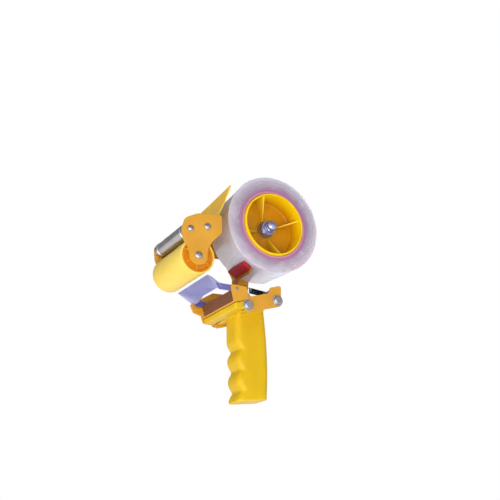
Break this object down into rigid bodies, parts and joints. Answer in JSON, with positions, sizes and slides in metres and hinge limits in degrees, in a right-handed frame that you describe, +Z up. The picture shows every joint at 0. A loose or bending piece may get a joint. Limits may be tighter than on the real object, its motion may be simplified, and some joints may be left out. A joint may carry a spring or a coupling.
{
  "type": "tape gun dispenser",
  "caption": "Hand-held tape gun: moulded grip under a sheet-steel frame with an open tape hub, rollers, toothed blade, hinged guard flap and a sprung brake.",
  "frame": {"origin": "middle of the grip's flat butt, on the grip's mid plane", "axes": "+Z up the grip, -X towards the roller and blade, -Y towards the open side of the tape hub"},
  "size_m": [0.1786, 0.0933, 0.2591],
  "materials": {
    "frame_paint": "satin baked enamel, orange-yellow",
    "grip_plastic": "satin moulded plastic, golden yellow",
    "cap_plastic": "moulded plastic, orange",
    "sleeve_rubber": "soft pale yellow roller cover",
    "hub_plastic": "moulded plastic, bright yellow-orange",
    "steel": "zinc plated",
    "zinc": "bright zinc, bluish",
    "blued_steel": "blued spring steel",
    "brake_red": "red friction pad",
    "spring_black": "black oxide wire",
    "fibre": "pressed fibre",
    "bronze_paint": "dark brown paint",
    "tape_film": "clear film wound in many layers, lavender grey",
    "core_board": "pink-purple paperboard core"
  },
  "bodies": {
    "frame": {"side_frame": "frame_paint", "head_side_plate": "frame_paint", "base_channel": "frame_paint", "grip": "grip_plastic", "roller_axle": "steel", "guide_roller_axle": "steel", "flap_pin": "steel", "hub_spacer": "steel", "tension_spring": "steel", "blade_screw_near": "steel", "blade_screw_far": "steel", "shelf_screw_near": "steel", "shelf_screw_far": "steel", "bracket_rivet_near": "steel", "bracket_rivet_far": "steel", "brake_bracket": "steel", "brake_pin": "steel", "brake_adjuster": "steel", "adjuster_nut": "steel", "grip_bolt_near_front": "steel", "grip_bolt_near_rear": "steel", "grip_bolt_far_front": "steel", "grip_bolt_far_rear": "steel", "hub_axle": "zinc", "tension_washer": "zinc", "blade": "blued_steel", "brake_spring": "spring_black", "friction_washer": "fibre", "blade_shelf": "bronze_paint"},
    "roller": {"roller_sleeve": "sleeve_rubber", "roller_cap_near": "cap_plastic", "roller_cap_far": "cap_plastic"},
    "guide_roller": {"guide_roller": "steel"},
    "flap": {"flap": "frame_paint"},
    "hub": {"hub": "hub_plastic", "tape_core": "core_board", "tape_roll": "tape_film"},
    "nut": {"tension_nut": "zinc"},
    "brake": {"brake_arm": "frame_paint", "brake_pad": "brake_red"}
  },
  "joints": [
    {"name": "hub_spin", "type": "hinge", "parent": "frame", "child": "hub", "pos_m": [0.024, 0, 0.2], "axis": [0, 1, 0], "continuous": true},
    {"name": "roller_spin", "type": "hinge", "parent": "frame", "child": "roller", "pos_m": [-0.0776, 0, 0.1439], "axis": [0, 1, 0], "continuous": true},
    {"name": "guide_roller_spin", "type": "hinge", "parent": "frame", "child": "guide_roller", "pos_m": [-0.087, 0, 0.1725], "axis": [0, 1, 0], "continuous": true},
    {"name": "flap_hinge", "type": "hinge", "parent": "frame", "child": "flap", "pos_m": [-0.0673, 0, 0.1775], "axis": [0, 1, 0], "range_deg": [-35, 6]},
    {"name": "brake_hinge", "type": "hinge", "parent": "frame", "child": "brake", "pos_m": [-0.012, 0, 0.112], "axis": [0, -1, 0], "range_deg": [0, 12], "stiffness_Nm_per_rad": 0.15, "springref_deg": -17.19},
    {"name": "nut_turn", "type": "hinge", "parent": "frame", "child": "nut", "pos_m": [0.024, 0, 0.2], "axis": [0, 1, 0], "range_deg": [-180, 180]}
  ]
}
